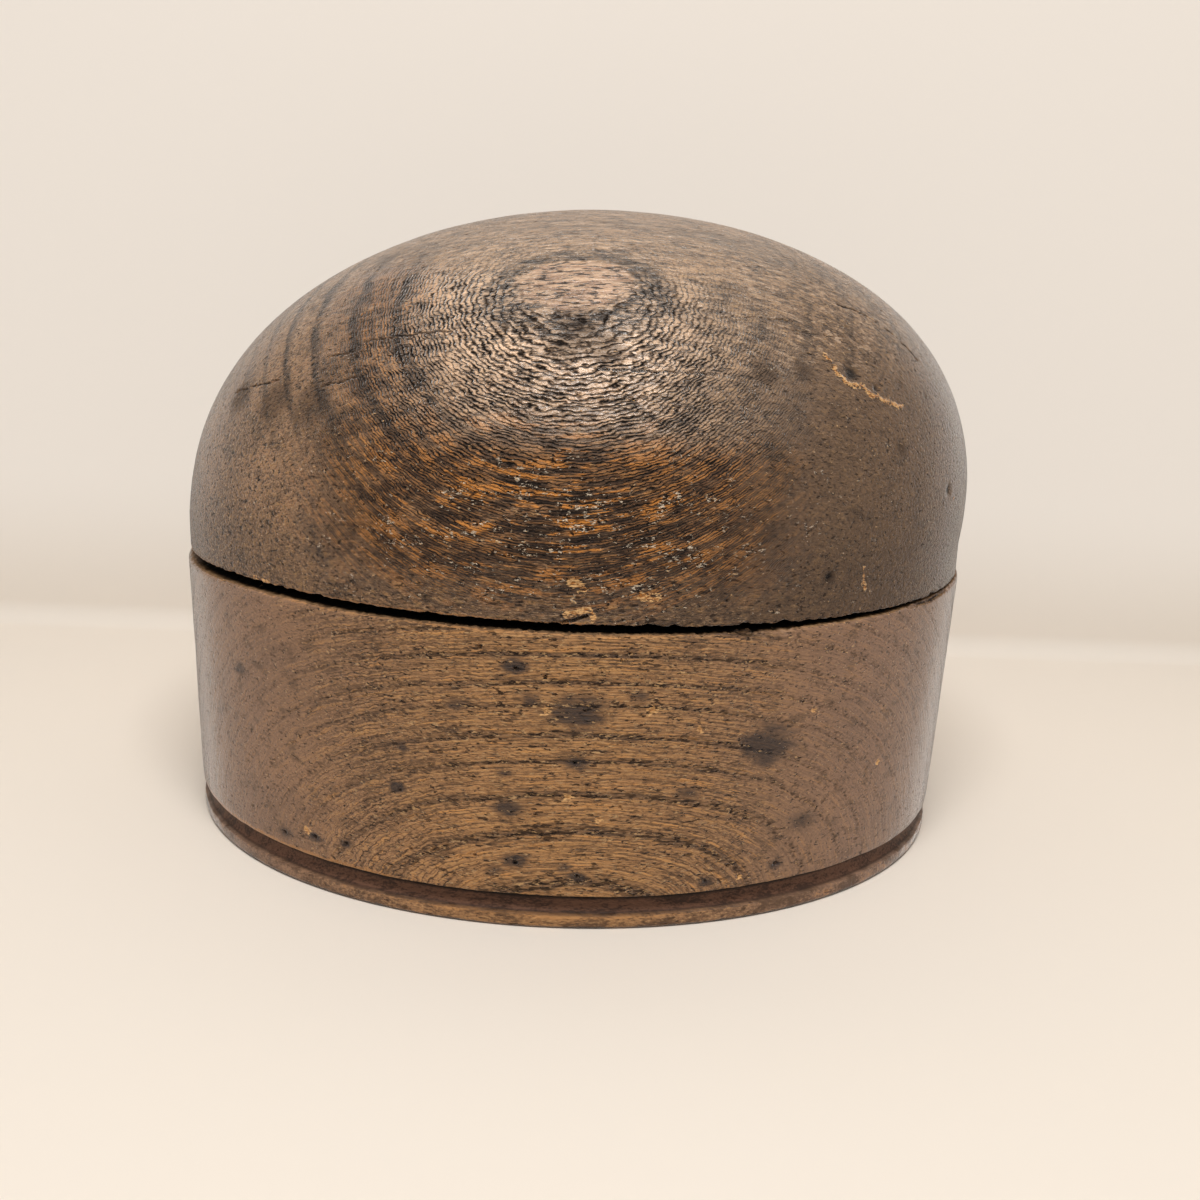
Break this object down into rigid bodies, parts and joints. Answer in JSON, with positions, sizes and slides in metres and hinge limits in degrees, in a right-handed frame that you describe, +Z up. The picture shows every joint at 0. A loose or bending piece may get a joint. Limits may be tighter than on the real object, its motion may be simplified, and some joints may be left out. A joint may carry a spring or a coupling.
{
  "type": "hat block",
  "caption": "Oval wooden hat block with a domed crown that lifts off a pegged base, a cord groove round the foot and a stand hole up the middle.",
  "frame": {"origin": "middle of the base's oval underside, on the surface the block stands on", "axes": "+X along the long way of the oval, towards the end where the crown sits closest to the base; -Y faces the viewer of the picture; +Z up through the stand hole to the crest"},
  "size_m": [0.2, 0.164, 0.1548],
  "materials": {
    "base_wood": "old open-grained hardwood, orange brown, dulled and grey at the ends, pitted by pin holes and a few dark stains",
    "crown_wood": "old open-grained hardwood, dark brown with orange brown where it is worn, polished by handling",
    "peg_wood": "plain straight-grained hardwood, dull, paler than the block"
  },
  "bodies": {
    "base_block": {"base": "base_wood", "left_peg": "peg_wood", "right_peg": "peg_wood"},
    "crown_block": {"crown": "crown_wood"}
  },
  "joints": [
    {"name": "crown_lift", "type": "slide", "parent": "base_block", "child": "crown_block", "axis": [0, 0, 1], "range_m": [0, 0.06]}
  ]
}
